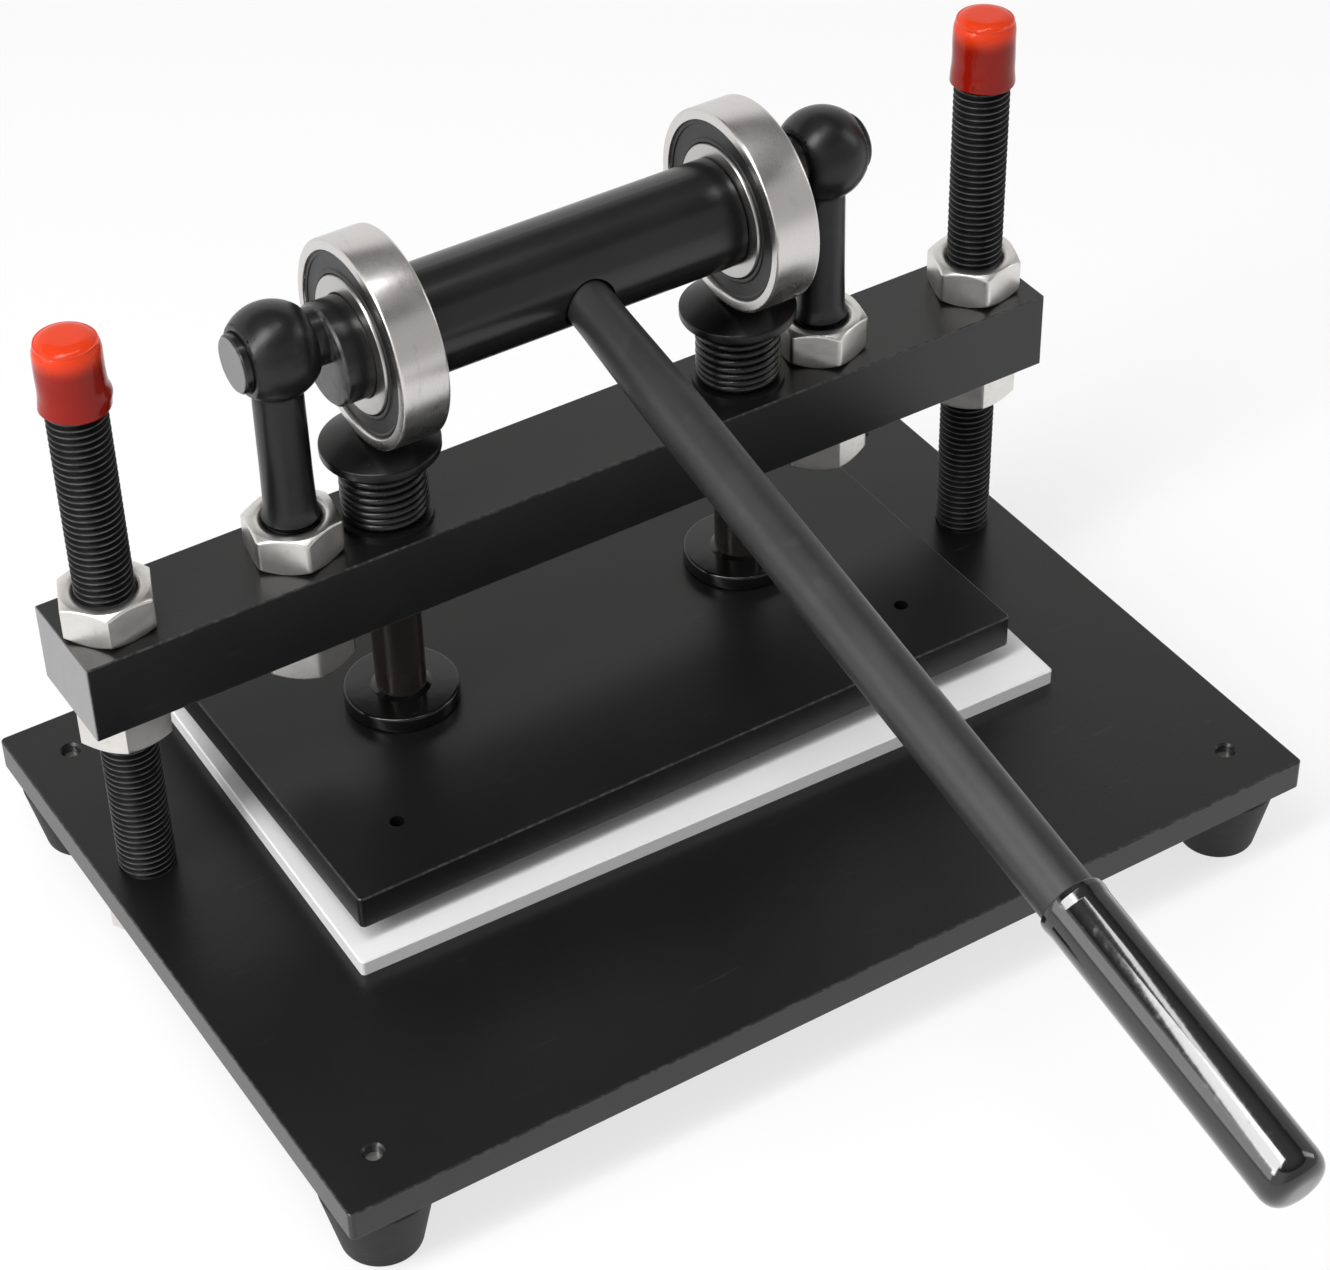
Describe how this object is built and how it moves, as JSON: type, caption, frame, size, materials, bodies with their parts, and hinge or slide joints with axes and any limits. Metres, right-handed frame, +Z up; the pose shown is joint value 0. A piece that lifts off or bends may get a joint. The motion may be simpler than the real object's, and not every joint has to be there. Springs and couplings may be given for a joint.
{
  "type": "die cutting press",
  "caption": "Hand-lever bench press for cutting dies: an eccentric shaft with roller bearings pushes a sprung pressing plate down onto a board on a footed base.",
  "frame": {"origin": "on the ground plane under the feet, in the middle of the whole press's box, lever included", "axes": "+Z up, +X along the crossbeam to the right, -Y towards the lever's grip"},
  "size_m": [0.38, 0.4764, 0.2584],
  "materials": {
    "black_plate": "satin black coating on steel plate",
    "black_steel": "satin black on turned steel",
    "black_thread": "black oxide on rolled thread",
    "spring_steel": "oiled black spring wire",
    "plated_steel": "satin nickel plating",
    "bearing_steel": "ground and polished bearing steel",
    "cage_steel": "pressed steel",
    "bronze": "sintered bronze",
    "seal_rubber": "smooth black seal",
    "foot_rubber": "matt black rubber",
    "red_vinyl": "glossy dipped vinyl",
    "black_vinyl": "glossy dipped vinyl",
    "white_board": "fine matt polyethylene sheet"
  },
  "bodies": {
    "base": {"base_plate": "black_plate", "foot_front_left": "foot_rubber", "foot_front_right": "foot_rubber", "foot_back_left": "foot_rubber", "foot_back_right": "foot_rubber", "foot_washers": "plated_steel", "foot_screws": "plated_steel", "column_left": "black_thread", "column_right": "black_thread", "base_nuts": "plated_steel", "cap_left": "red_vinyl", "cap_right": "red_vinyl"},
    "beam_head": {"crossbeam": "black_plate", "column_upper_nuts": "plated_steel", "column_lower_nuts": "plated_steel", "eye_bolt_left": "black_steel", "eye_bolt_right": "black_steel", "eye_upper_nuts": "plated_steel", "eye_lower_nuts": "plated_steel", "guide_bushes": "bronze", "spring_seats": "black_steel", "spring_left": "spring_steel", "spring_right": "spring_steel"},
    "cam": {"cam_shaft": "black_steel", "lever": "black_steel", "lever_grip": "black_vinyl", "inner_ring_left": "bearing_steel", "inner_ring_right": "bearing_steel"},
    "roller_left": {"outer_ring_left": "bearing_steel", "bearing_seals_left": "seal_rubber"},
    "roller_right": {"outer_ring_right": "bearing_steel", "bearing_seals_right": "seal_rubber"},
    "cage_left": {"bearing_cage_left": "cage_steel", "bearing_balls_left": "bearing_steel"},
    "cage_right": {"bearing_cage_right": "cage_steel", "bearing_balls_right": "bearing_steel"},
    "platen": {"pressing_plate": "black_plate", "plunger_post_left": "black_steel", "plunger_post_right": "black_steel", "plunger_head_left": "black_steel", "plunger_head_right": "black_steel", "plunger_flange_left": "black_steel", "plunger_flange_right": "black_steel", "plunger_screws": "plated_steel"},
    "board": {"cutting_board": "white_board"}
  },
  "joints": [
    {"name": "beam_height", "type": "slide", "parent": "base", "child": "beam_head", "axis": [0, 0, 1], "range_m": [-0.005, 0.06]},
    {"name": "lever_swing", "type": "hinge", "parent": "beam_head", "child": "cam", "pos_m": [0, 0.15141, 0.2265], "axis": [1, 0, 0], "range_deg": [-75, 15]},
    {"name": "platen_travel", "type": "slide", "parent": "beam_head", "child": "platen", "axis": [0, 0, 1], "range_m": [-0.0014, 0.0066], "deforming": ["spring_left", "spring_right"]},
    {"name": "board_slide", "type": "slide", "parent": "base", "child": "board", "axis": [0, -1, 0], "range_m": [0, 0.16]},
    {"name": "roller_spin_left", "type": "hinge", "parent": "cam", "child": "roller_left", "pos_m": [-0.0705, 0.14949, 0.21935], "axis": [1, 0, 0], "continuous": true},
    {"name": "cage_spin_left", "type": "hinge", "parent": "cam", "child": "cage_left", "pos_m": [-0.0705, 0.14949, 0.21935], "axis": [1, 0, 0], "continuous": true},
    {"name": "roller_spin_right", "type": "hinge", "parent": "cam", "child": "roller_right", "pos_m": [0.0705, 0.14949, 0.21935], "axis": [1, 0, 0], "continuous": true},
    {"name": "cage_spin_right", "type": "hinge", "parent": "cam", "child": "cage_right", "pos_m": [0.0705, 0.14949, 0.21935], "axis": [1, 0, 0], "continuous": true}
  ],
  "couplings": [
    {"joint": "platen_travel", "follows": "lever_swing", "m_per_rad": -0.0049516},
    {"joint": "cage_spin_left", "follows": "roller_spin_left", "ratio": 0.59982},
    {"joint": "cage_spin_right", "follows": "roller_spin_right", "ratio": 0.59982}
  ]
}
